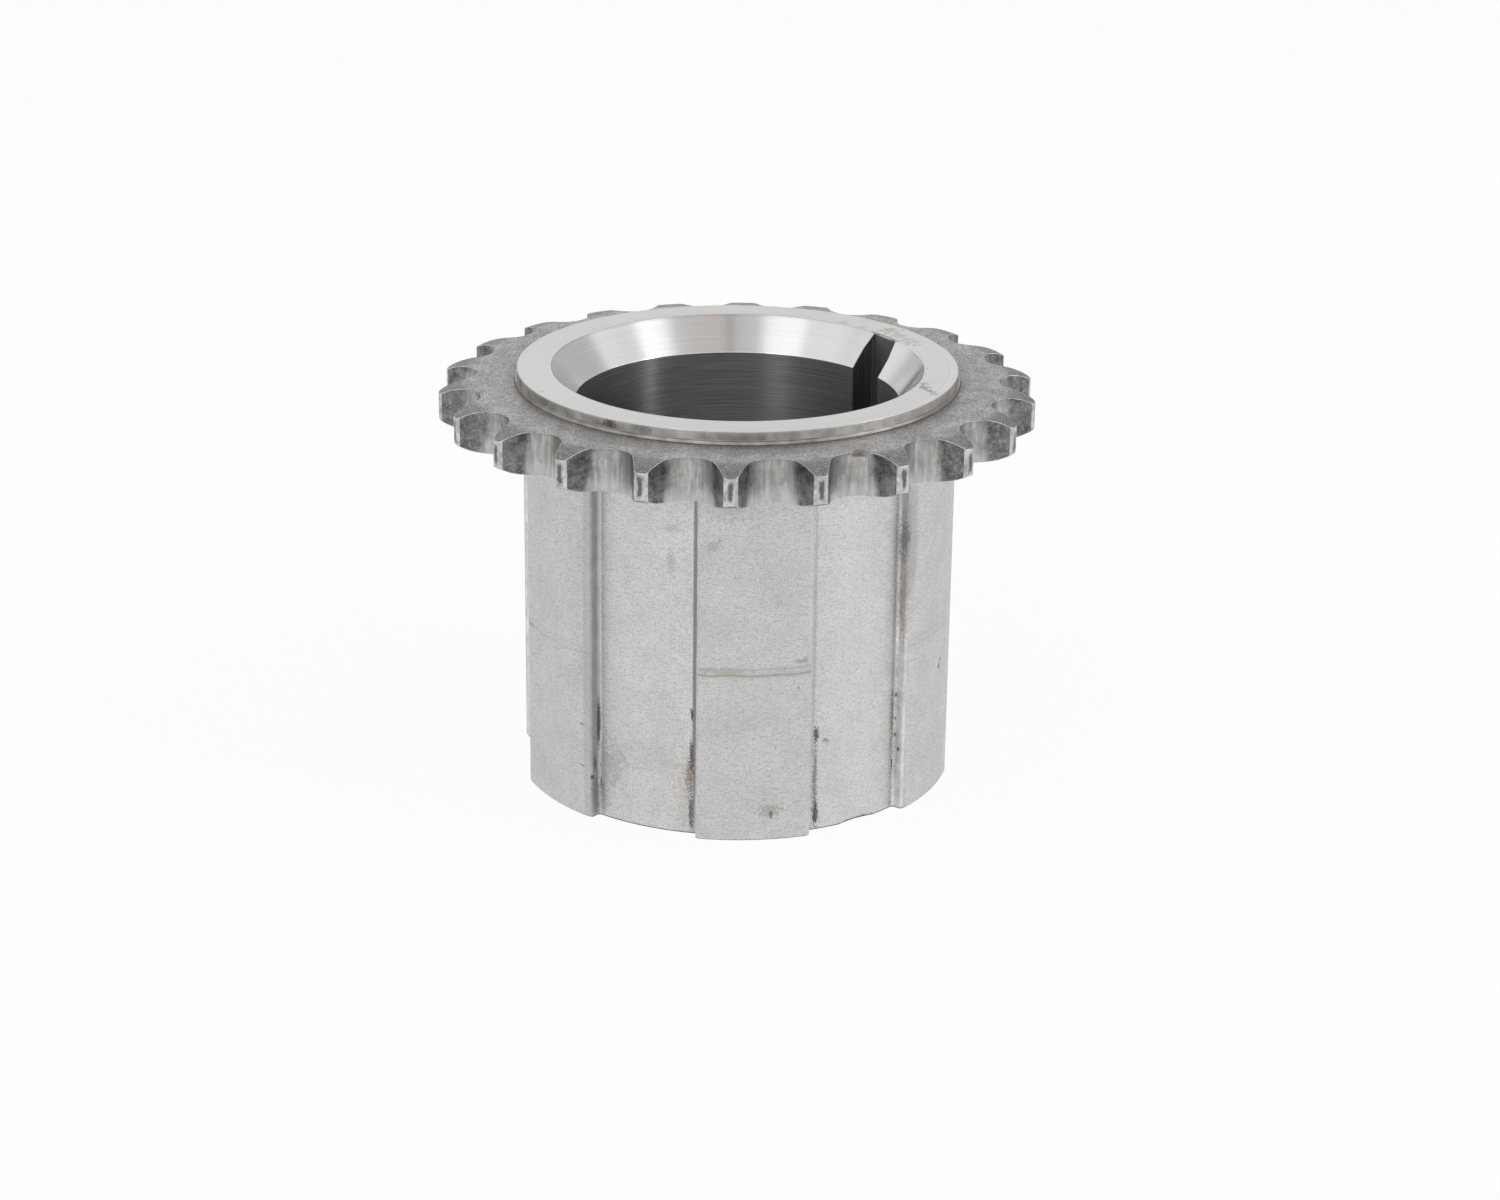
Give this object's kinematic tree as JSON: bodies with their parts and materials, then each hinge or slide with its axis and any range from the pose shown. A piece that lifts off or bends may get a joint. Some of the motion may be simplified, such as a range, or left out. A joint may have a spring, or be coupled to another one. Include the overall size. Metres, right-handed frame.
{
  "type": "crankshaft gear",
  "caption": "One-piece crankshaft chain sprocket: toothed disc with a low rim and lead-in cone on top of a long keyed barrel with broad drive lands.",
  "frame": {"origin": "centre of the bore in the plane of the barrel's free end, which the part stands on", "axes": "+Z along the bore toward the rim face, +X through the middle of the keyway"},
  "size_m": [0.069, 0.069, 0.0487],
  "materials": {
    "sintered_steel": "machined on the rim, cone and bore, fine matt on the teeth and barrel"
  },
  "bodies": {
    "root": {"crankshaft_gear": "sintered_steel"}
  },
  "joints": []
}
